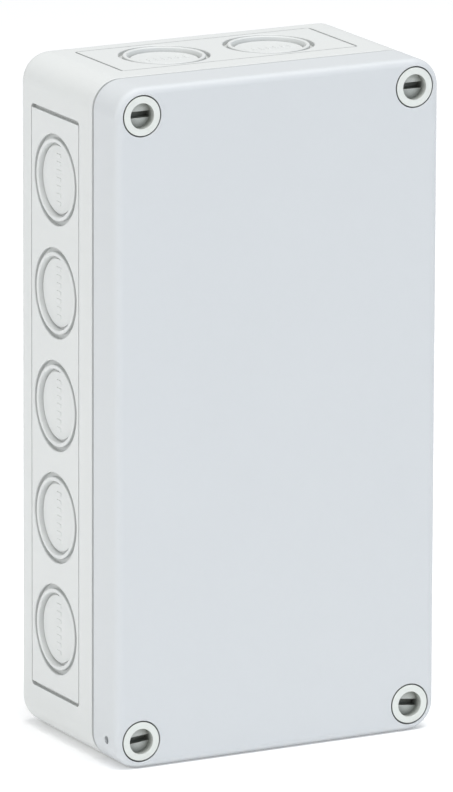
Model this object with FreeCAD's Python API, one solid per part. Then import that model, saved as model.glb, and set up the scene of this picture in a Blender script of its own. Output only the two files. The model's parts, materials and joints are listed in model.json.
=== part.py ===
import FreeCAD, Part
import math
import os

# An upright wall box with a lift-off lid. X runs across the box, +Z up its length, and the lid
# faces -Y. The origin is the centre of the flat back face, which lies on the wall at Y = 0.
# Every length is in millimetres and every angle in degrees.

V = FreeCAD.Vector

# Casing
box_width = 94.0
box_height = 180.0
box_depth = 57.0
lid_depth = 14.0
corner_radius = 7.6
back_edge_radius = 5.3
lid_edge_radius = 2.0
wall = 3.2
back_wall = 2.8
lid_plate = 2.6
lid_skirt = 1.7
lid_rest_gap = 0.1
seam_step = 1.0
seam_width = 1.1
seam_edge_radius = 0.3

# Rim of the base, and the seal that it presses into
rim_clearance = 0.2
rim_edge_radius = 0.3
seal_thickness = 2.4
rib_clearance = 0.4
channel_rib = 1.0
channel_rib_height = 4.0

# Corner pillars, the lid screws in them and the wall screws behind those
well_edge_wall = 1.85
well_wall = 1.5
head_radius = 5.2
head_clearance = 0.3
head_length = 6.0
head_edge_radius = 0.25
well_lip = 0.15
driver_recess_radius = 3.4
driver_recess_depth = 2.4
slot_width = 1.7
slot_depth = 2.6
shank_radius = 3.6
shank_clearance = 0.25
lid_floor = 2.4
seat_clearance = 0.1
lug_set_in = 0.2
lug_width = 3.8
lug_height = 2.4
lug_clearance = 0.2
lug_play = 0.8
tip_length = 0.8
tip_chamfer = 0.6
lock_plate = 3.0
lock_chamber = 4.5
chamber_clearance = 0.3
stop_start = 129.0
stop_end = 144.0
wall_screw_clearance = 0.5
wall_hole_radius = 2.25
wall_hole_floor = 8.0
retainer_clearance = 0.8
retainer_height = 1.2
retainer_groove = 0.5
retainer_play = 0.3
retainer_slit = 2.0
seal_wire_radius = 1.1
seal_wire_setback = 5.5

# How far each lid screw's slot stands off level, clockwise seen from the front
screw_turns = {
    "top_left": 0.0,
    "top_right": 0.0,
    "bottom_left": -5.5,
    "bottom_right": 7.0,
}

# Knockout panels on the four narrow faces
panel_back = 8.8
panel_front_margin = 7.0
side_panel_margin = 12.1
end_panel_margin = 12.3
panel_corner = 1.3
panel_line = 0.4
panel_line_depth = 0.35
panel_end_line_depth = 1.2
side_end_line = 1.1
end_end_line = 0.7
side_pitch = 30.0
end_pitch = 30.6
knockout_margin = 1.6
knockout_groove = 1.2
knockout_groove_depth = 1.2
knockout_ring = 0.9
disc_slope = 0.4
disc_depth = 1.1
score_width = 0.6
score_depth = 0.6
groove_lip = 0.2
web = 0.8

# Mounting rail and its screws
rail_end_gap = 23.8
rail_width = 35.0
rail_height = 7.5
rail_flange = 4.0
rail_gauge = 1.0
rail_bend = 0.8
rail_slot_length = 15.0
rail_slot_width = 5.2
rail_slot_pitch = 25.0
rail_slot_margin = 4.0
rail_post_height = 5.0
rail_post_radius = 5.0
rail_screw_radius = 2.0
rail_screw_head = 4.0
rail_screw_head_height = 2.4
rail_screw_length = 6.5
thread_clearance = 0.05
post_web = 1.2
driver_slot = 0.9

# Rail terminals
terminal_pitch = 8.2
terminal_overhang = 4.5
terminal_air = 6.1
shoulder_run = 9.5
shoulder_drop = 8.0
shoulder_radius = 1.0
foot_drop = 3.2
foot_thickness = 2.6
foot_lip = 1.6
foot_clearance = 0.25
foot_step = 1.5
foot_slope = 0.8
cell_end_wall = 3.5
cell_floor = 7.0
cell_roof = 7.5
cell_side_wall = 2.0
cell_rib = 1.2
wire_edge = 0.7
wire_hole_length = 9.0
wire_funnel = 0.5
driver_opening = 3.4
driver_opening_inset = 4.1
bar_thickness = 1.4
bar_clearance = 0.2
bar_end_gap = 1.0
spring_gauge = 0.6
spring_bend_radius = 2.6
spring_headroom = 2.5
spring_inset = 7.5
spring_lean = 2.0
spring_foot = 3.0
marker_groove_half = 4.0
marker_groove_depth = 1.2
marker_thickness = 1.8
end_plate_thickness = 1.8
foot_strap = 1.6
foot_riser_half = 3.0

# End brackets that hold the terminals together on the rail
bracket_thickness = 9.6
bracket_height = 19.0
bracket_overhang = 3.5
bracket_shoulder = 4.0
bracket_pocket = 8.0
bracket_pocket_x = 12.2
bracket_pocket_wall = 1.6
bracket_pocket_depth = 9.0
bracket_screw_radius = 2.0
bracket_screw_head = 3.6
bracket_screw_head_height = 2.2
bracket_screw_sink = 0.6
bracket_screw_length = 15.0

half_width = box_width / 2
half_height = box_height / 2
front = -box_depth
seam = -(box_depth - lid_depth)
lid_inside = front + lid_plate
lid_bottom = seam - lid_rest_gap
lug_reach = head_radius - lug_set_in
screw_inset = head_radius + head_clearance + well_edge_wall
pillar_radius = head_radius + head_clearance + well_wall + wall - lid_skirt
screw_x = half_width - screw_inset
screw_z = half_height - screw_inset
head_bore = head_radius + head_clearance
shank_bore = shank_radius + shank_clearance
head_seat = front + head_length
lid_floor_front = head_seat + seat_clearance
lid_floor_back = lid_floor_front + lid_floor
lock_plate_back = seam + lock_plate
chamber_radius = lug_reach + chamber_clearance
wall_well_radius = shank_radius + wall_screw_clearance
chamber_back = lock_plate_back + lock_chamber
lug_front = lock_plate_back + lug_clearance
rim_inset = lid_skirt + rim_clearance
rim_top = lid_inside + seal_thickness
rib_inset = wall + rib_clearance
panel_width = box_depth - lid_depth - panel_back - panel_front_margin
side_panel_half = half_height - side_panel_margin
end_panel_half = half_width - end_panel_margin
knockout_radius = panel_width / 2 - knockout_margin
rail_seat = -(back_wall + rail_post_height)
rail_front = rail_seat - rail_height
rail_length = box_height - 2 * (wall + rail_end_gap)
terminal_top = lid_inside + terminal_air
terminal_half_width = rail_width / 2 + terminal_overhang
terminal_top_half = terminal_half_width - shoulder_run
cell_half_width = terminal_half_width - cell_end_wall
cell_back = rail_front - cell_floor
cell_front = terminal_top + cell_roof
bar_front = cell_back - bar_thickness
wire_hole_radius = (terminal_pitch - cell_side_wall) / 2 - wire_edge
spring_x = cell_half_width - spring_inset
spring_front = cell_front + spring_headroom + spring_bend_radius
bracket_half_width = rail_width / 2 + bracket_overhang
bracket_top = rail_front - bracket_height
bracket_screw_seat = bracket_top + bracket_screw_sink + bracket_screw_head_height

corners = {
    "top_left": (-screw_x, screw_z),
    "top_right": (screw_x, screw_z),
    "bottom_left": (-screw_x, -screw_z),
    "bottom_right": (screw_x, -screw_z),
}
circuits = ["line_1", "line_2", "line_3", "neutral", "earth"]


def places_in(length, pitch):
    # Centres along a length, a pitch apart about its middle, as many as it holds.
    count = int(length / pitch) + 1
    return [pitch * (i - (count - 1) / 2) for i in range(count)]


def block(x0, x1, y0, y1, z0, z1):
    return Part.makeBox(x1 - x0, y1 - y0, z1 - z0, V(x0, y0, z0))


def rod(x, z, radius, y0, y1):
    return Part.makeCylinder(radius, y1 - y0, V(x, y0, z), V(0, 1, 0))


def prism(points, z0, z1):
    # A closed outline in X and Y, given thickness from z0 to z1.
    corners_3d = [V(x, y, z0) for x, y in points]
    outline = Part.makePolygon(corners_3d + corners_3d[:1])
    return Part.Face(outline).extrude(V(0, 0, z1 - z0))


def edges_where(shape, test):
    return [edge for edge in shape.Edges if test(edge.BoundBox)]


def long_edges_at(shape, places):
    # The edges along Z that pass through the given places in X and Y.
    found = []
    for edge in shape.Edges:
        p = edge.Vertexes[0].Point
        near = any(math.dist((p.x, p.y), place) < 1e-6 for place in places)
        if near and edge.BoundBox.ZLength > 1:
            found.append(edge)
    return found


def on_plane(y):
    return lambda b: abs(b.YMin - y) < 1e-6 and abs(b.YMax - y) < 1e-6


def outer_block(inset, y0, y1):
    # The casing's outline, drawn in by inset, with its four long corners rounded.
    x, z = half_width - inset, half_height - inset
    shape = block(-x, x, y0, y1, -z, z)
    long_edges = edges_where(shape, lambda b: b.YLength > 0.5 * (y1 - y0))
    return shape.makeFillet(corner_radius - inset, long_edges)


def inner_block(inset, y0, y1):
    # The dry space inside the seal: it steps round the corner pillars.
    x, z = half_width - inset, half_height - inset
    shape = block(-x, x, y0, y1, -z, z)
    radius = pillar_radius - wall + inset
    cuts = []
    for px, pz in corners.values():
        cuts.append(rod(px, pz, radius, y0 - 1, y1 + 1))
        far_x = math.copysign(half_width, px)
        far_z = math.copysign(half_height, pz)
        cuts.append(block(min(px, far_x), max(px, far_x), y0 - 1, y1 + 1,
                          min(pz, far_z), max(pz, far_z)))
    return shape.cut(cuts)


def band(inset0, inset1, y0, y1):
    return inner_block(inset0, y0, y1).cut(inner_block(inset1, y0 - 1, y1 + 1))


def on_face(shape, normal, distance):
    # Local X runs along a narrow face, local Y is the box's own Y and local Z points outwards.
    along = V(0, 1, 0).cross(normal)
    matrix = FreeCAD.Matrix(
        along.x, 0, normal.x, normal.x * distance,
        along.y, 1, normal.y, normal.y * distance,
        along.z, 0, normal.z, normal.z * distance,
        0, 0, 0, 1,
    )
    placed = shape.copy()
    placed.Placement = FreeCAD.Placement(matrix)
    return placed


def narrow_faces():
    # Each narrow face: its normal, its distance, and its panel's half length and line width,
    # and the places of its knockouts.
    edge = knockout_radius + groove_lip
    side = places_in(2 * (side_panel_half - side_end_line - edge), side_pitch)
    end = places_in(2 * (end_panel_half - end_end_line - edge), end_pitch)
    return [
        (V(-1, 0, 0), half_width, side_panel_half, side_end_line, side),
        (V(1, 0, 0), half_width, side_panel_half, side_end_line, side),
        (V(0, 0, 1), half_height, end_panel_half, end_end_line, end),
        (V(0, 0, -1), half_height, end_panel_half, end_end_line, end),
    ]


def turned_cut(points, u, v):
    # An outline of radii and heights, turned round a knockout's own axis.
    outline = [V(u + radius, v, w) for radius, w in points]
    face = Part.Face(Part.makePolygon(outline + outline[:1]))
    return face.revolve(V(u, v, 0), V(0, 0, 1), 360)


def knockout_cuts(u, v):
    # A round knockout: a groove, and a sunk disc scored round its edge, with a web behind each.
    outer = knockout_radius
    inner = knockout_radius - knockout_groove
    rim = inner - knockout_ring
    lip = groove_lip
    groove = [
        (inner - lip, 1), (inner - lip, 0), (inner, -lip), (inner, -knockout_groove_depth),
        (outer, -knockout_groove_depth), (outer, -lip), (outer + lip, 0), (outer + lip, 1),
    ]
    floor = rim - disc_slope
    bottom = -disc_depth - score_depth
    disc = [
        (0, 1), (0, -disc_depth), (floor - score_width, -disc_depth), (floor - score_width, bottom),
        (floor, bottom), (rim - lip / 2, -lip), (rim + lip / 2, 0), (rim + lip / 2, 1),
    ]
    behind_groove = [
        (inner, -wall - 1), (inner, -knockout_groove_depth - web),
        (outer, -knockout_groove_depth - web), (outer, -wall - 1),
    ]
    behind_disc = [
        (floor - score_width, -wall - 1), (floor - score_width, bottom - web),
        (floor, bottom - web), (floor, -wall - 1),
    ]
    return [turned_cut(points, u, v) for points in (groove, disc, behind_groove, behind_disc)]


def panel_cuts(half_length, end_line, places):
    # All that is cut into one narrow face, with the outer surface at Z = 0.
    mid = -(panel_back + panel_width / 2)
    half = panel_width / 2
    outline = Part.makeBox(2 * half_length, panel_width, panel_end_line_depth + 1,
                           V(-half_length, mid - half, -panel_end_line_depth))
    outline = outline.makeFillet(
        panel_corner, [e for e in outline.Edges if e.BoundBox.ZLength > panel_end_line_depth])
    island = Part.makeBox(2 * (half_length - end_line), panel_width - 2 * panel_line, 4,
                          V(-half_length + end_line, mid - half + panel_line, -2))
    shallow = Part.makeBox(2 * (half_length - end_line), panel_width, 2,
                           V(-half_length + end_line, mid - half, -2 - panel_line_depth))
    cuts = [outline.cut([island, shallow])]
    for u in places:
        cuts += knockout_cuts(u, mid)
    return cuts


def key_slot(x, z, radius, play, y0, y1):
    # A round hole with a cross slot that lets the screw's two lugs through.
    half_reach = lug_reach + lug_clearance
    half_slot = lug_width / 2 + play
    slot = block(x - half_reach, x + half_reach, y0, y1, z - half_slot, z + half_slot)
    return rod(x, z, radius, y0, y1).fuse(slot)


def turn_stops(x, z):
    # Two ribs in the locking chamber that end the screw's quarter turn.
    stops = []
    for start in (stop_start, stop_start + 180):
        ring = rod(x, z, chamber_radius + 0.4, lock_plate_back - 0.2, chamber_back)
        ring = ring.cut(rod(x, z, wall_well_radius, lock_plate_back - 1, chamber_back + 1))
        a0 = math.radians(start)
        a1 = math.radians(start + stop_end - stop_start)
        reach = 3 * chamber_radius
        points = [V(x, lock_plate_back - 1, z)]
        for a in (a0, a1):
            points.append(V(x + reach * math.cos(a), lock_plate_back - 1, z - reach * math.sin(a)))
        wedge = Part.Face(Part.makePolygon(points + points[:1])).extrude(V(0, lock_chamber + 2, 0))
        stops.append(ring.common(wedge))
    return stops


def rail_slot_places():
    return places_in(rail_length - rail_slot_length - 2 * rail_slot_margin, rail_slot_pitch)


def rail_screw_places():
    slots = rail_slot_places()
    return slots[0], slots[-1]


def make_base():
    shape = outer_block(0, seam, 0)
    shape = shape.makeFillet(back_edge_radius, edges_where(shape, on_plane(0)))
    shape = shape.makeFillet(seam_edge_radius, edges_where(shape, on_plane(seam)))
    shape = shape.cut(inner_block(wall, seam - 1, -back_wall))
    rim = band(rim_inset, wall, rim_top, seam + 1)
    rim = rim.makeFillet(rim_edge_radius, edges_where(rim, on_plane(rim_top)))
    shape = shape.fuse(rim)
    posts = []
    for z in rail_screw_places():
        posts.append(rod(0, z, rail_post_radius, rail_seat, -post_web))
    shape = shape.fuse(posts)
    cuts = []
    for normal, distance, half_length, end_line, places in narrow_faces():
        for cut in panel_cuts(half_length, end_line, places):
            cuts.append(on_face(cut, normal, distance))
    for x, z in corners.values():
        cuts.append(key_slot(x, z, wall_well_radius, lug_play, seam - 1, lock_plate_back))
        cuts.append(rod(x, z, chamber_radius, lock_plate_back, chamber_back))
        cuts.append(rod(x, z, wall_well_radius, chamber_back, -wall_hole_floor))
        cuts.append(rod(x, z, wall_hole_radius, -wall_hole_floor - 1, 1))
    for z in rail_screw_places():
        cuts.append(rod(0, z, rail_screw_radius + thread_clearance, rail_seat - 1, -post_web))
    shape = shape.cut(cuts)
    for x, z in corners.values():
        shape = shape.fuse(turn_stops(x, z))
    return shape


def make_lid():
    shape = outer_block(0, front, lid_bottom)
    shape = shape.makeFillet(lid_edge_radius, edges_where(shape, on_plane(front)))
    shape = shape.makeFillet(seam_edge_radius, edges_where(shape, on_plane(lid_bottom)))
    step = outer_block(-1, lid_bottom - seam_width, lid_bottom + 1)
    shape = shape.cut(step.cut(outer_block(seam_step, lid_bottom - seam_width - 1, lid_bottom + 2)))
    shape = shape.cut(inner_block(lid_skirt, lid_inside, lid_bottom + 1))
    rib = band(rib_inset, rib_inset + channel_rib, lid_inside - 1, lid_inside + channel_rib_height)
    shape = shape.fuse(rib)
    cuts = []
    for x, z in corners.values():
        cuts.append(rod(x, z, head_bore, front - 1, lid_floor_front))
        lip = Part.makeCone(head_bore + 2 * well_lip, head_bore, 2 * well_lip,
                            V(x, front - well_lip, z), V(0, 1, 0))
        cuts.append(lip)
        cuts.append(key_slot(x, z, shank_bore, lug_play, lid_floor_front - 1, lid_floor_back + 1))
        cuts.append(rod(x, z, head_bore, lid_floor_back, lid_bottom + 1))
    wire_y = front + seal_wire_setback
    for side in (-1, 1):
        start = V(side * (half_width + 1), wire_y, side * screw_z)
        length = screw_inset + 1 - head_radius
        cuts.append(Part.makeCylinder(seal_wire_radius, length, start, V(-side, 0, 0)))
    return shape.cut(cuts).removeSplitter()


def make_lid_seal():
    return band(lid_skirt, rib_inset, lid_inside, rim_top).removeSplitter()


def turned(shape, x, z, angle):
    # Turned clockwise, seen from the front, about a lid screw's own axis.
    shape.rotate(V(x, 0, z), V(0, 1, 0), angle)
    return shape


def make_lid_screw(x, z, angle):
    head = rod(x, z, head_radius, front, head_seat)
    head = head.makeFillet(head_edge_radius, edges_where(head, on_plane(front)))
    tip = lug_front + lug_height + tip_length
    shank = rod(x, z, shank_radius, head_seat - 1, tip)
    shank = shank.makeChamfer(tip_chamfer, edges_where(shank, on_plane(tip)))
    lugs = rod(x, z, lug_reach, lug_front, lug_front + lug_height)
    half = lug_width / 2
    lugs = lugs.common(block(x - 9, x + 9, front, 0, z - half, z + half))
    recess = rod(x, z, driver_recess_radius, front - 1, front + driver_recess_depth)
    half = slot_width / 2
    slot = block(x - 9, x + 9, front, front + driver_recess_depth + slot_depth, z - half, z + half)
    slot = slot.common(rod(x, z, driver_recess_radius, front - 1, 0))
    groove_y = lid_floor_back + retainer_play
    groove = rod(x, z, shank_radius + 1, groove_y, groove_y + retainer_height)
    groove = groove.cut(rod(x, z, shank_radius - retainer_groove, front, 0))
    shape = head.fuse([shank, lugs]).cut([recess, slot, groove]).removeSplitter()
    return turned(shape, x, z, angle)


def make_screw_retainer(x, z, angle):
    y0 = lid_floor_back + retainer_play
    y1 = y0 + retainer_height
    retainer_radius = head_bore - retainer_clearance
    ring = rod(x, z, retainer_radius, y0, y1)
    neck = shank_radius - retainer_groove
    ring = ring.cut(rod(x, z, neck, y0 - 1, y1 + 1))
    half = retainer_slit / 2
    ring = ring.cut(block(x - half, x + half, y0 - 1, y1 + 1, z, z + 2 * retainer_radius))
    return turned(ring, x, z, angle)


def make_rail():
    # A top-hat section: a channel that opens to the front, with a flange along each side.
    half = rail_width / 2
    channel = half - rail_flange
    y0, y1, t = rail_front, rail_seat, rail_gauge
    outline = [
        (-half, y0), (-channel + t, y0), (-channel + t, y1 - t), (channel - t, y1 - t),
        (channel - t, y0), (half, y0), (half, y0 + t), (channel, y0 + t),
        (channel, y1), (-channel, y1), (-channel, y0 + t), (-half, y0 + t),
    ]
    shape = prism(outline, -rail_length / 2, rail_length / 2)
    bends = [(channel, y1), (-channel, y1), (channel - t, y0), (-channel + t, y0)]
    shape = shape.makeFillet(rail_bend, long_edges_at(shape, bends))
    cuts = []
    for z in rail_slot_places():
        half_slot, r = (rail_slot_length - rail_slot_width) / 2, rail_slot_width / 2
        cuts.append(block(-r, r, y1 - 2 * t, y1 + 1, z - half_slot, z + half_slot))
        cuts.append(rod(0, z - half_slot, r, y1 - 2 * t, y1 + 1))
        cuts.append(rod(0, z + half_slot, r, y1 - 2 * t, y1 + 1))
    return shape.cut(cuts).removeSplitter()


def make_screw(x, z, seat, head, head_height, shank, length, slot_depth_share):
    # A slotted pan-head screw that points along +Y, with the underside of its head at seat.
    cap = rod(x, z, head, seat - head_height, seat)
    rim = edges_where(cap, on_plane(seat - head_height))
    cap = cap.makeFillet(0.4 * head_height, rim)
    stem = rod(x, z, shank, seat - 0.5, seat + length)
    stem = stem.makeChamfer(0.5 * shank, edges_where(stem, on_plane(seat + length)))
    half = driver_slot / 2
    top = seat - head_height
    slot = block(x - half, x + half, top - 1, top + slot_depth_share * head_height,
                 z - 2 * head, z + 2 * head)
    return cap.fuse(stem).cut(slot).removeSplitter()


def make_rail_screw(z):
    return make_screw(0, z, rail_seat - rail_gauge, rail_screw_head, rail_screw_head_height,
                      rail_screw_radius, rail_screw_length - rail_gauge, 0.5)


def foot_points(side):
    # The hook that grips one flange of the rail, as an outline that runs outwards and down.
    edge = rail_width / 2 + foot_clearance
    under = rail_front + rail_gauge + foot_clearance
    low = rail_front + foot_drop
    out = edge + foot_thickness
    inner = rail_width / 2 - foot_lip
    points = [(edge, rail_front), (edge, under), (inner, under), (inner + foot_slope, low), (out, low)]
    return [(side * x, y) for x, y in points]


def carrier_outline(half, top, top_half, drop):
    # The outline of a piece that snaps on the rail, the same on both sides.
    right = foot_points(1) + [(half, rail_front - foot_step), (half, top + drop), (top_half, top)]
    left = [(-x, y) for x, y in reversed(right)]
    return right + left


def soften_shoulders(shape, half, top, top_half, drop):
    soft = [(side * x, y) for side in (-1, 1) for x, y in ((half, top + drop), (top_half, top))]
    return shape.makeFillet(shoulder_radius, long_edges_at(shape, soft))


def carrier_block(half, top, top_half, drop, z0, z1):
    shape = prism(carrier_outline(half, top, top_half, drop), z0, z1)
    return soften_shoulders(shape, half, top, top_half, drop)


def shoulder_axis():
    # The middle of a terminal's sloping shoulder, and the way in, square to it.
    dx = terminal_half_width - terminal_top_half
    size = math.hypot(dx, shoulder_drop)
    mid = (terminal_top_half + dx / 2, terminal_top + shoulder_drop / 2)
    inward = (-shoulder_drop / size, dx / size)
    return mid, inward


def terminal_z(index):
    return terminal_pitch * (index - len(circuits) / 2)


def make_terminal(index):
    z0 = terminal_z(index)
    z1 = z0 + terminal_pitch
    shape = carrier_block(terminal_half_width, terminal_top, terminal_top_half,
                          shoulder_drop, z0, z1)
    cell = block(-cell_half_width, cell_half_width, cell_front, cell_back, z0 + cell_side_wall, z1 + 1)
    rib = block(-foot_riser_half - cell_rib, -foot_riser_half, cell_front, bar_front - bar_clearance, z0, z1)
    ribs = [rib, rib.mirror(V(0, 0, 0), V(1, 0, 0))]
    cuts = [cell.cut(ribs)]
    mid_z = (z0 + cell_side_wall + z1) / 2
    (sx, sy), (ix, iy) = shoulder_axis()
    for side in (-1, 1):
        start = V(side * (sx - 2 * ix), sy - 2 * iy, mid_z)
        way = V(side * ix, iy, 0)
        cuts.append(Part.makeCylinder(wire_hole_radius, wire_hole_length + 2, start, way))
        funnel_radius = wire_hole_radius + wire_funnel
        mouth = V(side * sx, sy, mid_z)
        cuts.append(Part.makeCone(funnel_radius, wire_hole_radius, 2 * wire_funnel, mouth, way))
        h = driver_opening / 2
        x = side * (terminal_top_half - driver_opening_inset)
        cuts.append(block(x - h, x + h, terminal_top - 1, cell_front + 1, mid_z - h, mid_z + h))
    cuts.append(block(-marker_groove_half, marker_groove_half, terminal_top - 1,
                      terminal_top + marker_groove_depth, z0 - 1, z1 + 1))
    if circuits[index] == "earth":
        strap_front = rail_front - foot_strap
        half = rail_width / 2
        cuts.append(block(-half, half, strap_front, rail_front + 1, z0 + cell_side_wall, z1 + 1))
        cuts.append(block(-foot_riser_half, foot_riser_half, cell_back - 1, rail_front,
                          z0 + cell_side_wall, z1 + 1))
    return shape.cut(cuts).removeSplitter()


def metal_span(index):
    z0 = terminal_z(index) + cell_side_wall + bar_clearance
    return z0, terminal_z(index) + terminal_pitch - bar_clearance


def make_current_bar(index):
    # A flat copper bar along the floor of the terminal's cell, with both ends turned up.
    z0, z1 = metal_span(index)
    half = cell_half_width - bar_end_gap
    flat = block(-half, half, bar_front, cell_back, z0, z1)
    ends = []
    for side in (-1, 1):
        x = side * (half - bar_thickness / 2)
        ends.append(block(x - bar_thickness / 2, x + bar_thickness / 2,
                          bar_front - 3 * bar_thickness, cell_back, z0, z1))
    return flat.fuse(ends).removeSplitter()


def make_clamp_spring(index, side):
    # A bent leaf: one leg stands on the bar by the middle rib, the other slants down to the bar.
    z0, z1 = metal_span(index)
    z0, z1 = z0 + 0.4, z1 - 0.4
    r, t = spring_bend_radius, spring_gauge
    centre_y = spring_front
    loop = Part.makeCylinder(r, z1 - z0, V(side * spring_x, centre_y, z0))
    loop = loop.cut(Part.makeCylinder(r - t, z1 - z0, V(side * spring_x, centre_y, z0)))
    loop = loop.common(block(-30, 30, centre_y - 2 * r, centre_y, z0, z1))
    inner_x = spring_x - r
    post = block(inner_x, inner_x + t, centre_y, bar_front, z0, z1)
    foot = block(inner_x, inner_x + spring_foot, bar_front - t, bar_front, z0, z1)
    outer_x = spring_x + r
    tip_x, tip_y = outer_x - spring_lean, bar_front - 2 * t
    leg = prism([(outer_x - t, centre_y), (outer_x, centre_y), (tip_x, tip_y), (tip_x - t, tip_y)],
                z0, z1)
    if side < 0:
        post, foot, leg = [s.mirror(V(0, 0, 0), V(1, 0, 0)) for s in (post, foot, leg)]
    return loop.fuse([post, foot, leg]).removeSplitter()


def make_earth_foot():
    # A plated strap from the earth terminal's bar to the rail's two flanges.
    index = circuits.index("earth")
    z0, z1 = metal_span(index)
    half = rail_width / 2 - bar_clearance
    strap = block(-half, half, rail_front - foot_strap + bar_clearance, rail_front, z0, z1)
    riser_half = foot_riser_half - bar_clearance
    riser = block(-riser_half, riser_half, cell_back, rail_front, z0, z1)
    return strap.fuse(riser).removeSplitter()


def make_end_plate():
    # Closes the open side of the last terminal.
    z0 = terminal_z(len(circuits))
    top = terminal_top + marker_groove_depth
    outline = [
        (terminal_half_width, rail_front - foot_step),
        (terminal_half_width, terminal_top + shoulder_drop),
        (terminal_top_half, terminal_top),
        (marker_groove_half, terminal_top), (marker_groove_half, top),
        (-marker_groove_half, top), (-marker_groove_half, terminal_top),
        (-terminal_top_half, terminal_top),
        (-terminal_half_width, terminal_top + shoulder_drop),
        (-terminal_half_width, rail_front - foot_step),
    ]
    shape = prism(outline, z0, z0 + end_plate_thickness)
    return soften_shoulders(shape, terminal_half_width, terminal_top, terminal_top_half,
                            shoulder_drop)


def make_marker_strip():
    # A blank strip that snaps into the groove along the terminals' tops.
    y1 = terminal_top + marker_groove_depth
    shape = block(-marker_groove_half, marker_groove_half, y1 - marker_thickness, y1,
                  terminal_z(0), terminal_z(len(circuits)) + end_plate_thickness)
    notches = []
    for i in range(1, len(circuits)):
        z = terminal_z(i)
        notches.append(block(-9, 9, front, y1 - marker_thickness + 0.4, z - 0.2, z + 0.2))
    return shape.cut(notches)


def bracket_span(which):
    if which == "lower":
        return terminal_z(0) - bracket_thickness, terminal_z(0)
    z0 = terminal_z(len(circuits)) + end_plate_thickness
    return z0, z0 + bracket_thickness


def make_end_bracket(which):
    z0, z1 = bracket_span(which)
    top = bracket_top
    shape = carrier_block(bracket_half_width, top, bracket_half_width - bracket_shoulder,
                          bracket_shoulder, z0, z1)
    mid_z = (z0 + z1) / 2
    cuts = [rod(0, mid_z, bracket_screw_radius + thread_clearance, top - 1, rail_front + 1)]
    cuts.append(rod(0, mid_z, bracket_screw_head + head_clearance, top - 1, bracket_screw_seat))
    half, w = bracket_pocket / 2, bracket_pocket_wall
    for x in (-bracket_pocket_x, bracket_pocket_x):
        cuts.append(block(x - half, x + half, top - 1, top + bracket_pocket_depth, z0 + w, z1 - w))
    return shape.cut(cuts).removeSplitter()


def make_bracket_screw(which):
    z0, z1 = bracket_span(which)
    return make_screw(0, (z0 + z1) / 2, bracket_screw_seat, bracket_screw_head, bracket_screw_head_height,
                      bracket_screw_radius, bracket_screw_length, 0.5)


def make_all():
    parts = {
        "base_box": make_base(),
        "lid_cover": make_lid(),
        "lid_seal": make_lid_seal(),
        "mounting_rail": make_rail(),
        "rail_screw_upper": make_rail_screw(rail_screw_places()[1]),
        "rail_screw_lower": make_rail_screw(rail_screw_places()[0]),
        "earth_rail_foot": make_earth_foot(),
        "terminal_end_plate": make_end_plate(),
        "marker_strip": make_marker_strip(),
    }
    for name, (x, z) in corners.items():
        parts["lid_screw_" + name] = make_lid_screw(x, z, screw_turns[name])
        parts["screw_retainer_" + name] = make_screw_retainer(x, z, screw_turns[name])
    for which in ("upper", "lower"):
        parts["end_bracket_" + which] = make_end_bracket(which)
        parts["bracket_screw_" + which] = make_bracket_screw(which)
    for index, circuit in enumerate(circuits):
        parts["terminal_" + circuit] = make_terminal(index)
        parts["current_bar_" + circuit] = make_current_bar(index)
        parts["clamp_spring_" + circuit + "_left"] = make_clamp_spring(index, -1)
        parts["clamp_spring_" + circuit + "_right"] = make_clamp_spring(index, 1)
    return parts


def main():
    os.makedirs("parts", exist_ok=True)
    for name, shape in make_all().items():
        shape.exportStep("parts/" + name + ".step")
        print(name, len(shape.Solids), "solid", round(shape.Volume, 1), "mm3", shape.isValid())


main()
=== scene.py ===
import json
import math

import bpy
from mathutils import Matrix, Vector


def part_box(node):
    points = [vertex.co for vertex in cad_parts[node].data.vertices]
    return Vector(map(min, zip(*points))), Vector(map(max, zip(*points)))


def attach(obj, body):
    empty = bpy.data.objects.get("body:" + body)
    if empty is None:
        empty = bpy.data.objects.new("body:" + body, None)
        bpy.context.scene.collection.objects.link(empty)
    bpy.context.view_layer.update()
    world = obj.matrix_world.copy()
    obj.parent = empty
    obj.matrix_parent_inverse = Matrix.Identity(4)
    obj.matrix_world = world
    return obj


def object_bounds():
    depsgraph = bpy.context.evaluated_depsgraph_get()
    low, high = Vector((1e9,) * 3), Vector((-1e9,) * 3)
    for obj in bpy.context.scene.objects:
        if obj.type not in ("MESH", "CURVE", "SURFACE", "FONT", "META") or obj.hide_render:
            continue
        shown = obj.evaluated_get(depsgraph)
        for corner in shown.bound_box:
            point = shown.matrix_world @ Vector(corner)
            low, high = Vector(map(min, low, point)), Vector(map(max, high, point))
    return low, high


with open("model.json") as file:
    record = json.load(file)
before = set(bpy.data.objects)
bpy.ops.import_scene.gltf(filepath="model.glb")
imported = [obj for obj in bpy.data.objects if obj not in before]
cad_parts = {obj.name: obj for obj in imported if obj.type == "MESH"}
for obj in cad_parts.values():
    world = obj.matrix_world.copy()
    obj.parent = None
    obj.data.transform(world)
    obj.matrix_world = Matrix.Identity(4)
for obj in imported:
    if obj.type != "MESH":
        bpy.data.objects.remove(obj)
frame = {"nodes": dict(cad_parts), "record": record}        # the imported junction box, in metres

cadLow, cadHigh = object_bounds()
print("junction box loaded:", len(frame["nodes"]), "parts")


# View, light and floor.
cameraView = {
    "azimuth": -28.012,      # degrees round the box, 0 looks straight at the lid
    "elevation": 13.716,
    "roll": 0.203,
    "distance": 2.565,
    "lens": 446.4,
    "aim": (0.00086, -0.027, -0.00168),
    "clip": (0.05, 100),
}

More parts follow.
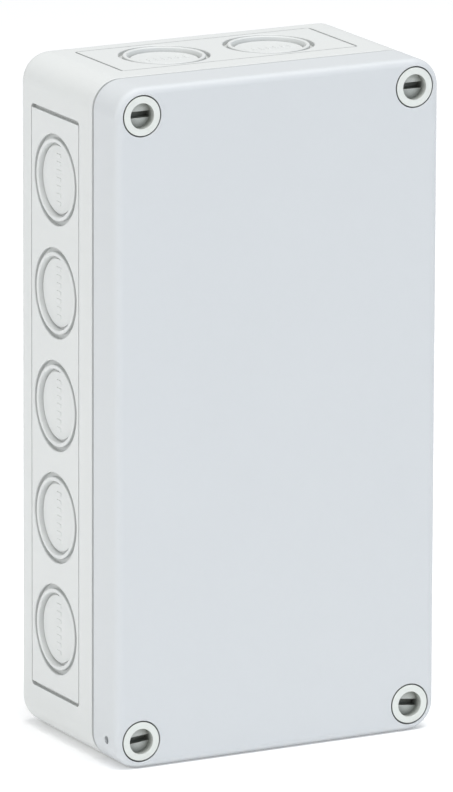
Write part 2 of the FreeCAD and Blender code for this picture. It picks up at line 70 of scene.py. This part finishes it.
studio = {
    "worldTone": (0.96, 0.98, 1.0),
    "worldStrength": 0.52,
    "floorRadius": 6.0,
    "floorSides": 96,
    "floorRoughness": 0.9,
    "floorTone": (0.95, 0.95, 0.95),
    "floorGlow": 0.16,           # the pale sweep is lit from under, as on a light table
    "lampAim": (0, -0.03, 0),
    "lamps": [
        # name, place, size, power, tone
        ("overhead", (0.1, -0.25, 1.5), (1.4, 1.0), 18.0, (1.0, 0.99, 0.98)),
        ("leftBank", (-2.0, -0.5, 0.9), (1.2, 1.4), 11.6, (1.0, 1.0, 0.99)),
        ("frontBank", (0.7, -2.0, 0.7), (1.3, 1.3), 6.1, (0.85, 0.97, 1.15)),
    ],
}

scene = bpy.context.scene
scene.view_settings.view_transform = "Standard"


def deselectAll():
    for thing in bpy.context.selected_objects:
        thing.select_set(False)


def aimAt(thing, target):
    away = thing.location - Vector(target)
    thing.rotation_euler = away.to_track_quat("Z", "Y").to_euler()


def addCamera(v):
    a = math.radians(v["azimuth"])
    e = math.radians(v["elevation"])
    back = Vector((math.sin(a) * math.cos(e), -math.cos(a) * math.cos(e), math.sin(e)))
    deselectAll()
    bpy.ops.object.camera_add(location=Vector(v["aim"]) + back * v["distance"])
    camera = bpy.context.object
    camera.name = "camera"
    camera.data.lens = v["lens"]
    camera.data.clip_start, camera.data.clip_end = v["clip"]
    aimAt(camera, v["aim"])
    camera.rotation_euler.rotate_axis("Z", math.radians(v["roll"]))
    scene.camera = camera


def addLamp(name, place, size, power, tone):
    deselectAll()
    bpy.ops.object.light_add(type="AREA", location=place)
    lamp = bpy.context.object
    lamp.name = name
    lamp.data.shape = "RECTANGLE"
    lamp.data.size = size[0]
    lamp.data.size_y = size[1]
    lamp.data.energy = power
    lamp.data.color = tone
    aimAt(lamp, studio["lampAim"])


def addFloor(s):
    deselectAll()
    bpy.ops.mesh.primitive_circle_add(vertices=s["floorSides"], radius=s["floorRadius"],
                                      fill_type="NGON", location=(0, 0, cadLow[2]))
    floor = bpy.context.object
    floor.name = "floor"
    bpy.ops.object.transform_apply(location=True, rotation=True, scale=True)
    paint = bpy.data.materials.new("floorPaint")
    paint.use_nodes = True
    shader = paint.node_tree.nodes["Principled BSDF"]
    shader.inputs["Base Color"].default_value = (*s["floorTone"], 1)
    shader.inputs["Roughness"].default_value = s["floorRoughness"]
    shader.inputs["Emission Color"].default_value = (1, 1, 1, 1)
    shader.inputs["Emission Strength"].default_value = s["floorGlow"]
    floor.data.materials.append(paint)


def addWorld(s):
    world = bpy.data.worlds.new("paleStudio")
    world.use_nodes = True
    sky = world.node_tree.nodes["Background"]
    sky.inputs["Color"].default_value = (*s["worldTone"], 1)
    sky.inputs["Strength"].default_value = s["worldStrength"]
    scene.world = world


addCamera(cameraView)
for lamp in studio["lamps"]:
    addLamp(*lamp)
addWorld(studio)
addFloor(studio)
print("studio ready")


# Effects that several finishes share, each a node group.
def newGroup(name, inputs, outputs):
    group = bpy.data.node_groups.new(name, "ShaderNodeTree")
    for label, kind, value in inputs:
        socket = group.interface.new_socket(label, in_out="INPUT", socket_type=kind)
        socket.default_value = value
    for label, kind in outputs:
        group.interface.new_socket(label, in_out="OUTPUT", socket_type=kind)
    return group, group.nodes.new("NodeGroupInput"), group.nodes.new("NodeGroupOutput")


def addNode(tree, kind, values=None, **settings):
    node = tree.nodes.new(kind)
    for key, value in settings.items():
        setattr(node, key, value)
    for socket, value in (values or {}).items():
        node.inputs[socket].default_value = value
    return node


def wire(tree, *pairs):
    for source, target in pairs:
        tree.links.new(source, target)


def noiseOn(tree, where, scale, detail=2.0, roughness=0.5):
    noise = addNode(tree, "ShaderNodeTexNoise",
                    {"Scale": scale, "Detail": detail, "Roughness": roughness})
    wire(tree, (where, noise.inputs["Vector"]))
    return noise


def tintBy(tree, colour, factor, amount):
    # colour times one plus amount times the factor's distance from a half
    swing = addNode(tree, "ShaderNodeMath", {1: 0.5}, operation="SUBTRACT")
    gain = addNode(tree, "ShaderNodeMath", {2: 1.0}, operation="MULTIPLY_ADD")
    tint = addNode(tree, "ShaderNodeVectorMath", operation="SCALE")
    wire(tree, (factor, swing.inputs[0]), (swing.outputs[0], gain.inputs[0]),
         (amount, gain.inputs[1]), (colour, tint.inputs[0]), (gain.outputs[0], tint.inputs["Scale"]))
    return tint.outputs[0]


grainDetail = {
    "bumpDepth": 0.00004,
    "driftScale": 16,         # slow change in tone, lumps to a metre
    "speckleScale": 900,
    "speckleShare": 0.3,
}


def buildMouldGrain(v):
    # The fine spark-eroded grain of a moulded face, with a slow drift in tone under it.
    group, start, end = newGroup("mouldGrain", [
        ("Tone", "NodeSocketColor", (0.8, 0.8, 0.8, 1)),
        ("Tone drift", "NodeSocketFloat", 0.03),
        ("Grain size", "NodeSocketFloat", 3500.0),
        ("Depth", "NodeSocketFloat", 0.2),
        ("Roughness", "NodeSocketFloat", 0.45),
        ("Gloss drift", "NodeSocketFloat", 0.1),
    ], [("Colour", "NodeSocketColor"), ("Roughness", "NodeSocketFloat"), ("Normal", "NodeSocketVector")])
    place = addNode(group, "ShaderNodeTexCoord").outputs["Object"]
    grain = noiseOn(group, place, 1, 3)
    wire(group, (start.outputs["Grain size"], grain.inputs["Scale"]))
    bump = addNode(group, "ShaderNodeBump", {"Distance": v["bumpDepth"]})
    wire(group, (start.outputs["Depth"], bump.inputs["Strength"]),
         (grain.outputs["Fac"], bump.inputs["Height"]), (bump.outputs["Normal"], end.inputs["Normal"]))
    drift = noiseOn(group, place, v["driftScale"], 3)
    speckle = noiseOn(group, place, v["speckleScale"], 2)
    both = addNode(group, "ShaderNodeMix", {"Factor": v["speckleShare"]})
    wire(group, (drift.outputs["Fac"], both.inputs["A"]), (speckle.outputs["Fac"], both.inputs["B"]))
    tinted = tintBy(group, start.outputs["Tone"], both.outputs["Result"], start.outputs["Tone drift"])
    gloss = addNode(group, "ShaderNodeMath", operation="MULTIPLY_ADD")
    wire(group, (tinted, end.inputs["Colour"]), (grain.outputs["Fac"], gloss.inputs[0]),
         (start.outputs["Gloss drift"], gloss.inputs[1]), (start.outputs["Roughness"], gloss.inputs[2]),
         (gloss.outputs[0], end.inputs["Roughness"]))
    return group


# Painted shade in grooves and corners, found by ambient occlusion.
paintedShadeDetail = {"samples": 12, "fullShade": 0.25, "noShade": 0.95}   # open share of the sky at each end


def buildGrooveShade(v):
    # Painted shade: the colour darkens in grooves and corners, the more the less light gets in.
    group, start, end = newGroup("grooveShade", [
        ("Colour", "NodeSocketColor", (0.8, 0.8, 0.8, 1)),
        ("Painted shade", "NodeSocketColor", (0.2, 0.2, 0.19, 1)),
        ("Amount", "NodeSocketFloat", 0.8),
        ("Reach", "NodeSocketFloat", 0.002),
    ], [("Colour", "NodeSocketColor"), ("Mask", "NodeSocketFloat")])
    shade = addNode(group, "ShaderNodeAmbientOcclusion", samples=v["samples"])
    closed = addNode(group, "ShaderNodeMapRange",
                     {"From Min": v["fullShade"], "From Max": v["noShade"], "To Min": 1.0, "To Max": 0.0},
                     interpolation_type="SMOOTHSTEP")
    share = addNode(group, "ShaderNodeMath", operation="MULTIPLY")
    mix = addNode(group, "ShaderNodeMix", data_type="RGBA")
    wire(group, (start.outputs["Reach"], shade.inputs["Distance"]),
         (shade.outputs["AO"], closed.inputs["Value"]),
         (closed.outputs["Result"], share.inputs[0]), (start.outputs["Amount"], share.inputs[1]),
         (share.outputs[0], mix.inputs["Factor"]), (start.outputs["Colour"], mix.inputs["A"]),
         (start.outputs["Painted shade"], mix.inputs["B"]), (mix.outputs["Result"], end.inputs["Colour"]),
         (share.outputs[0], end.inputs["Mask"]))
    return group


edgeRub = {
    "samples": 6,
    "turnSeen": (0.999, 0.86),      # how far a rounded normal leaves the flat one, from none to all worn
    "patchLimits": (0.38, 0.62),
    "leastRub": 0.25,
}


def buildEdgeWear(v):
    # Edges rubbed paler by handling, in patches.
    group, start, end = newGroup("edgeWear", [
        ("Colour", "NodeSocketColor", (0.8, 0.8, 0.8, 1)),
        ("Worn", "NodeSocketColor", (0.9, 0.9, 0.9, 1)),
        ("Amount", "NodeSocketFloat", 0.3),
        ("Width", "NodeSocketFloat", 0.0005),
        ("Patch size", "NodeSocketFloat", 120.0),
    ], [("Colour", "NodeSocketColor"), ("Mask", "NodeSocketFloat")])
    place = addNode(group, "ShaderNodeTexCoord").outputs["Object"]
    rounded = addNode(group, "ShaderNodeBevel", samples=v["samples"])
    flat = addNode(group, "ShaderNodeNewGeometry")
    match = addNode(group, "ShaderNodeVectorMath", operation="DOT_PRODUCT")
    edge = addNode(group, "ShaderNodeMapRange",
                   {"From Min": v["turnSeen"][0], "From Max": v["turnSeen"][1]})
    patch = noiseOn(group, place, 1, 4, 0.6)
    rubbed = addNode(group, "ShaderNodeMapRange",
                     {"From Min": v["patchLimits"][0], "From Max": v["patchLimits"][1],
                      "To Min": v["leastRub"]})
    here = addNode(group, "ShaderNodeMath", operation="MULTIPLY")
    share = addNode(group, "ShaderNodeMath", operation="MULTIPLY")
    mix = addNode(group, "ShaderNodeMix", data_type="RGBA")
    wire(group, (start.outputs["Width"], rounded.inputs["Radius"]),
         (rounded.outputs["Normal"], match.inputs[0]), (flat.outputs["Normal"], match.inputs[1]),
         (match.outputs["Value"], edge.inputs["Value"]),
         (start.outputs["Patch size"], patch.inputs["Scale"]),
         (patch.outputs["Fac"], rubbed.inputs["Value"]),
         (edge.outputs["Result"], here.inputs[0]), (rubbed.outputs["Result"], here.inputs[1]),
         (here.outputs[0], share.inputs[0]), (start.outputs["Amount"], share.inputs[1]),
         (share.outputs[0], mix.inputs["Factor"]), (start.outputs["Colour"], mix.inputs["A"]),
         (start.outputs["Worn"], mix.inputs["B"]), (mix.outputs["Result"], end.inputs["Colour"]),
         (share.outputs[0], end.inputs["Mask"]))
    return group


stripDetail = {
    "cloudScale": 180,
    "cloudLimits": (0.35, 0.7),
    "pitScale": 1400.0,
    "pitEdge": 0.18,
    "pitFloor": 0.4,
    "bumpDepth": 0.00003,
}


def buildRolledStrip(v):
    # Metal strip: drawn lines along one direction, dull plating clouds and small pits.
    group, start, end = newGroup("rolledStrip", [
        ("Tone", "NodeSocketColor", (0.7, 0.7, 0.7, 1)),
        ("Cloud tone", "NodeSocketColor", (0.6, 0.6, 0.6, 1)),
        ("Grain", "NodeSocketVector", (4000.0, 4000.0, 60.0)),
        ("Depth", "NodeSocketFloat", 0.15),
        ("Roughness", "NodeSocketFloat", 0.3),
        ("Gloss drift", "NodeSocketFloat", 0.25),
    ], [("Colour", "NodeSocketColor"), ("Roughness", "NodeSocketFloat"), ("Normal", "NodeSocketVector")])
    place = addNode(group, "ShaderNodeTexCoord").outputs["Object"]
    drawn = addNode(group, "ShaderNodeVectorMath", operation="MULTIPLY")
    lines = noiseOn(group, drawn.outputs[0], 1.0, 4, 0.65)
    clouds = noiseOn(group, place, v["cloudScale"], 5, 0.6)
    cloudMask = addNode(group, "ShaderNodeMapRange",
                        {"From Min": v["cloudLimits"][0], "From Max": v["cloudLimits"][1]})
    mix = addNode(group, "ShaderNodeMix", data_type="RGBA")
    pits = addNode(group, "ShaderNodeTexVoronoi", {"Scale": v["pitScale"]})
    pitDepth = addNode(group, "ShaderNodeMapRange", {"From Max": v["pitEdge"], "To Min": v["pitFloor"]})
    height = addNode(group, "ShaderNodeMath", operation="MULTIPLY")
    bump = addNode(group, "ShaderNodeBump", {"Distance": v["bumpDepth"]})
    gloss = addNode(group, "ShaderNodeMath", operation="MULTIPLY_ADD")
    wire(group, (place, drawn.inputs[0]), (start.outputs["Grain"], drawn.inputs[1]),
         (clouds.outputs["Fac"], cloudMask.inputs["Value"]),
         (cloudMask.outputs["Result"], mix.inputs["Factor"]),
         (start.outputs["Tone"], mix.inputs["A"]), (start.outputs["Cloud tone"], mix.inputs["B"]),
         (place, pits.inputs["Vector"]), (pits.outputs["Distance"], pitDepth.inputs["Value"]),
         (lines.outputs["Fac"], height.inputs[0]), (pitDepth.outputs["Result"], height.inputs[1]),
         (height.outputs[0], bump.inputs["Height"]), (start.outputs["Depth"], bump.inputs["Strength"]),
         (bump.outputs["Normal"], end.inputs["Normal"]), (mix.outputs["Result"], end.inputs["Colour"]),
         (clouds.outputs["Fac"], gloss.inputs[0]), (start.outputs["Gloss drift"], gloss.inputs[1]),
         (start.outputs["Roughness"], gloss.inputs[2]), (gloss.outputs[0], end.inputs["Roughness"]))
    return group


mouldGrain = buildMouldGrain(grainDetail)
grooveShade = buildGrooveShade(paintedShadeDetail)
edgeWear = buildEdgeWear(edgeRub)
rolledStrip = buildRolledStrip(stripDetail)
print("surface effects ready")


# Finishes of the plastics, metals and foam.
def startMaterial(name):
    material = bpy.data.materials.new(name)
    material.use_nodes = True
    return material, material.node_tree, material.node_tree.nodes["Principled BSDF"]


def placeEffect(tree, group, values):
    node = tree.nodes.new("ShaderNodeGroup")
    node.node_tree = group
    for label, value in values.items():
        node.inputs[label].default_value = (*value, 1) if node.inputs[label].type == "RGBA" else value
    return node


def layFinish(tree, shader, base, wear, shade):
    # The base surface, then rubbed edges over it, then painted shade in grooves and corners over both.
    wire(tree, (base.outputs["Colour"], wear.inputs["Colour"]),
         (wear.outputs["Colour"], shade.inputs["Colour"]),
         (shade.outputs["Colour"], shader.inputs["Base Color"]),
         (base.outputs["Roughness"], shader.inputs["Roughness"]),
         (base.outputs["Normal"], shader.inputs["Normal"]))


# The shade arguments set the painted shade that darkens the colour in grooves and corners.
def plasticFinish(name, tone, worn, shadeTone=(0.16, 0.165, 0.155), drift=0.04, grainSize=3500, depth=0.25,
                  roughness=0.42, shadeAmount=0.5, shadeReach=0.002, wearAmount=0.25, wearWidth=0.0004):
    material, tree, shader = startMaterial(name)
    grain = placeEffect(tree, mouldGrain, {"Tone": tone, "Tone drift": drift, "Grain size": grainSize,
                                           "Depth": depth, "Roughness": roughness})
    wear = placeEffect(tree, edgeWear, {"Worn": worn, "Amount": wearAmount, "Width": wearWidth})
    shade = placeEffect(tree, grooveShade, {"Painted shade": shadeTone, "Amount": shadeAmount, "Reach": shadeReach})
    layFinish(tree, shader, grain, wear, shade)
    return material


# The shade arguments set the painted shade that darkens the colour in grooves and corners.
def metalFinish(name, tone, cloud, grain, roughness=0.3, depth=0.15, worn=(0.9, 0.9, 0.88), wearAmount=0.5,
                wearWidth=0.0003, shadeTone=(0.12, 0.11, 0.1), shadeAmount=0.5, shadeReach=0.002):
    material, tree, shader = startMaterial(name)
    shader.inputs["Metallic"].default_value = 1.0
    strip = placeEffect(tree, rolledStrip, {"Tone": tone, "Cloud tone": cloud, "Grain": grain,
                                            "Depth": depth, "Roughness": roughness})
    wear = placeEffect(tree, edgeWear, {"Worn": worn, "Amount": wearAmount, "Width": wearWidth})
    shade = placeEffect(tree, grooveShade, {"Painted shade": shadeTone, "Amount": shadeAmount, "Reach": shadeReach})
    layFinish(tree, shader, strip, wear, shade)
    return material


foam = {
    "tone": (0.022, 0.023, 0.025),
    "cellTone": (0.05, 0.052, 0.055),
    "cellScale": 1600.0,
    "skinScale": 220,
    "depth": 0.7,
    "bumpDepth": 0.0002,
    "roughness": (0.65, 0.9),
}


def foamFinish(v):
    # Foamed-in-place sealing bead: a closed skin over small cells.
    material, tree, shader = startMaterial("sealFoam")
    place = addNode(tree, "ShaderNodeTexCoord").outputs["Object"]
    cells = addNode(tree, "ShaderNodeTexVoronoi", {"Scale": v["cellScale"]})
    skin = noiseOn(tree, place, v["skinScale"], 4)
    mix = addNode(tree, "ShaderNodeMix", {"A": (*v["tone"], 1), "B": (*v["cellTone"], 1)}, data_type="RGBA")
    bump = addNode(tree, "ShaderNodeBump", {"Strength": v["depth"], "Distance": v["bumpDepth"]})
    gloss = addNode(tree, "ShaderNodeMapRange", {"To Min": v["roughness"][0], "To Max": v["roughness"][1]})
    wire(tree, (place, cells.inputs["Vector"]), (cells.outputs["Distance"], bump.inputs["Height"]),
         (skin.outputs["Fac"], mix.inputs["Factor"]), (mix.outputs["Result"], shader.inputs["Base Color"]),
         (skin.outputs["Fac"], gloss.inputs["Value"]), (gloss.outputs["Result"], shader.inputs["Roughness"]),
         (bump.outputs["Normal"], shader.inputs["Normal"]))
    return material


earthBands = {
    "green": (0.05, 0.26, 0.07),
    "yellow": (0.78, 0.6, 0.04),
    "bandWidth": 0.0055,
    "bandEdge": (0.48, 0.52),       # where the sharp change from green to yellow starts and ends
    "drift": 0.08,
    "depth": 0.3,
    "roughness": 0.38,
    "worn": (0.75, 0.75, 0.55),
    "wearAmount": 0.25,
    "wearWidth": 0.0003,
    # painted shade in grooves and corners
    "shadeTone": (0.05, 0.06, 0.04),
    "shadeAmount": 0.6,
    "shadeReach": 0.002,
}


def earthFinish(v):
    # Green polyamide with yellow bands across the body, the mark of an earth terminal.
    material, tree, shader = startMaterial("terminalGreenYellow")
    place = addNode(tree, "ShaderNodeTexCoord").outputs["Object"]
    axes = addNode(tree, "ShaderNodeSeparateXYZ")
    wave = addNode(tree, "ShaderNodeMath", {1: 1 / (2 * v["bandWidth"])}, operation="MULTIPLY")
    fold = addNode(tree, "ShaderNodeMath", {1: 1.0}, operation="PINGPONG")
    sharp = addNode(tree, "ShaderNodeMapRange", {"From Min": v["bandEdge"][0], "From Max": v["bandEdge"][1]})
    mix = addNode(tree, "ShaderNodeMix", {"A": (*v["green"], 1), "B": (*v["yellow"], 1)}, data_type="RGBA")
    grain = placeEffect(tree, mouldGrain, {"Tone drift": v["drift"], "Depth": v["depth"],
                                           "Roughness": v["roughness"]})
    wear = placeEffect(tree, edgeWear, {"Worn": v["worn"], "Amount": v["wearAmount"],
                                        "Width": v["wearWidth"]})
    shade = placeEffect(tree, grooveShade, {"Painted shade": v["shadeTone"], "Amount": v["shadeAmount"],
                                            "Reach": v["shadeReach"]})
    wire(tree, (place, axes.inputs[0]), (axes.outputs["X"], wave.inputs[0]),
         (wave.outputs[0], fold.inputs[0]), (fold.outputs[0], sharp.inputs["Value"]),
         (sharp.outputs["Result"], mix.inputs["Factor"]), (mix.outputs["Result"], grain.inputs["Tone"]))
    layFinish(tree, shader, grain, wear, shade)
    return material


alongRail = (4500.0, 4500.0, 70.0)
acrossRail = (70.0, 4500.0, 4500.0)
everyWay = (900.0, 900.0, 900.0)

# The shade entries set the painted shade that darkens each finish in grooves and corners.
plastics = {
    "casing_plastic": {"name": "casingPlastic", "tone": (0.665, 0.68, 0.672), "worn": (0.8, 0.81, 0.8),
                       "shadeAmount": 0.22, "shadeReach": 0.0016},
    # The lid's tone is bluer than the casing's: its grey plastic with a painted blue reflection of the front
    # face.
    "lid_plastic": {"name": "lidPlasticBlueReflection", "tone": (0.602, 0.624, 0.638), "worn": (0.77, 0.78, 0.79),
                    "shadeAmount": 0.3, "shadeReach": 0.0016},
    # The closure heads carry the strongest painted shade, in their recesses and slots.
    "closure_plastic": {"name": "closurePlastic", "tone": (0.69, 0.715, 0.68), "worn": (0.8, 0.82, 0.79),
                        "shadeTone": (0.06, 0.07, 0.05), "depth": 0.12, "roughness": 0.34,
                        "shadeAmount": 0.8, "shadeReach": 0.0044},
    "retainer_plastic": {"name": "retainerNylon", "tone": (0.72, 0.7, 0.62), "worn": (0.85, 0.83, 0.78),
                         "roughness": 0.3},
    "terminal_grey": {"name": "terminalGrey", "tone": (0.155, 0.165, 0.17), "worn": (0.3, 0.31, 0.32),
                      "shadeTone": (0.03, 0.03, 0.03), "drift": 0.1, "roughness": 0.36, "depth": 0.35},
    "terminal_blue": {"name": "terminalBlue", "tone": (0.02, 0.1, 0.33), "worn": (0.12, 0.25, 0.5),
                      "shadeTone": (0.01, 0.02, 0.05), "drift": 0.1, "roughness": 0.36, "depth": 0.35},
    "bracket_plastic": {"name": "bracketPlastic", "tone": (0.085, 0.09, 0.093), "worn": (0.2, 0.21, 0.21),
                        "shadeTone": (0.02, 0.02, 0.02), "drift": 0.12, "depth": 0.4},
    "marker_white": {"name": "markerWhite", "tone": (0.78, 0.78, 0.76), "worn": (0.85, 0.85, 0.84),
                     "roughness": 0.28, "depth": 0.1},
}

metals = {
    "rail_steel": {"name": "railSteel", "tone": (0.66, 0.67, 0.66), "cloud": (0.56, 0.575, 0.58),
                   "grain": alongRail},
    "screw_steel": {"name": "screwSteel", "tone": (0.68, 0.67, 0.62), "cloud": (0.6, 0.59, 0.56),
                    "grain": everyWay, "roughness": 0.24},
    "spring_steel": {"name": "springSteel", "tone": (0.62, 0.62, 0.63), "cloud": (0.55, 0.56, 0.58),
                     "grain": acrossRail, "roughness": 0.2},
    "tinned_copper": {"name": "tinnedCopper", "tone": (0.74, 0.55, 0.4), "cloud": (0.68, 0.62, 0.55),
                      "grain": acrossRail, "roughness": 0.28, "worn": (0.86, 0.5, 0.32)},
}

finishes = {"seal_foam": foamFinish(foam), "terminal_green_yellow": earthFinish(earthBands)}
for slotName, values in plastics.items():
    finishes[slotName] = plasticFinish(**values)
for slotName, values in metals.items():
    finishes[slotName] = metalFinish(**values)

for part in frame["record"]["subparts"]:
    for slot in frame["nodes"][part["node"]].material_slots:
        slot.material = finishes[part["material_slot"]]


# Raised ticks on the knockout discs.
discTicks = {
    "count": 7,
    "spacing": 0.0021,
    "size": (0.0011, 0.0026),      # along the row, across it
    "height": 0.00016,
    "sunk": 0.0001,                # how far each stands into the disc, so that it grows out of it
    "softEdge": 0.00009,
    "discDepth": 0.0011,
    "rowFromBack": 0.0224,         # the panels' middle line, from the wall
    "sidePitch": 0.030,
    "endPitch": 0.0306,
    "topTaper": (0.82, 0.92, 1),
}


def makeTick(v):
    # A flat-topped bar with drafted sides, lying on the X Y plane with its long side across X.
    facingUp = 0.9
    deselectAll()
    bpy.ops.mesh.primitive_cube_add(size=1, location=(0, 0, (v["height"] - v["sunk"]) / 2))
    tick = bpy.context.object
    tick.name = "discTick"
    tick.scale = (v["size"][0], v["size"][1], v["height"] + v["sunk"])
    bpy.ops.object.transform_apply(location=True, rotation=True, scale=True)
    bpy.ops.object.mode_set(mode="EDIT")
    bpy.ops.mesh.select_all(action="DESELECT")
    bpy.ops.object.mode_set(mode="OBJECT")
    for face in tick.data.polygons:
        face.select = face.normal.z > facingUp
    bpy.ops.object.mode_set(mode="EDIT")
    bpy.ops.transform.resize(value=v["topTaper"])
    bpy.ops.object.mode_set(mode="OBJECT")
    soften = tick.modifiers.new("softEdge", "BEVEL")
    soften.width = v["softEdge"]
    soften.segments = 2
    soften.limit_method = "ANGLE"
    bpy.ops.object.modifier_apply(modifier="softEdge")
    return tick


def discPlaces(v):
    # Each disc's middle, the way out of its face, and the way that its row runs.
    low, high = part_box("base_box")
    middle = high[1] - v["rowFromBack"]
    for i in range(-2, 3):
        z = i * v["sidePitch"]
        yield Vector((low[0] + v["discDepth"], middle, z)), Vector((-1, 0, 0)), Vector((0, 0, 1))
        yield Vector((high[0] - v["discDepth"], middle, z)), Vector((1, 0, 0)), Vector((0, 0, 1))
    for side in (-0.5, 0.5):
        x = side * v["endPitch"]
        yield Vector((x, middle, high[2] - v["discDepth"])), Vector((0, 0, 1)), Vector((1, 0, 0))
        yield Vector((x, middle, low[2] + v["discDepth"])), Vector((0, 0, -1)), Vector((1, 0, 0))


def makeDiscTicks(v):
    master = makeTick(v)
    copies = []
    for middle, out, along in discPlaces(v):
        across = out.cross(along)
        for i in range(v["count"]):
            copy = master.copy()
            copy.data = master.data.copy()
            bpy.context.collection.objects.link(copy)
            step = (i - (v["count"] - 1) / 2) * v["spacing"]
            spot = middle + along * step
            turn = Matrix((along, across, out)).transposed().to_4x4()
            copy.matrix_world = Matrix.Translation(spot) @ turn
            copies.append(copy)
    bpy.data.objects.remove(master)
    deselectAll()
    for copy in copies:
        copy.select_set(True)
    bpy.context.view_layer.objects.active = copies[0]
    bpy.ops.object.join()
    ticks = bpy.context.object
    ticks.name = "knockout_ticks"
    bpy.ops.object.transform_apply(location=True, rotation=True, scale=True)
    bpy.ops.object.mode_set(mode="EDIT")
    bpy.ops.mesh.select_all(action="SELECT")
    bpy.ops.mesh.normals_make_consistent(inside=False)
    bpy.ops.object.mode_set(mode="OBJECT")
    ticks.data.materials.clear()
    ticks.data.materials.append(finishes["casing_plastic"])
    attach(ticks, "base")
    print("knockout ticks:", len(copies))


makeDiscTicks(discTicks)
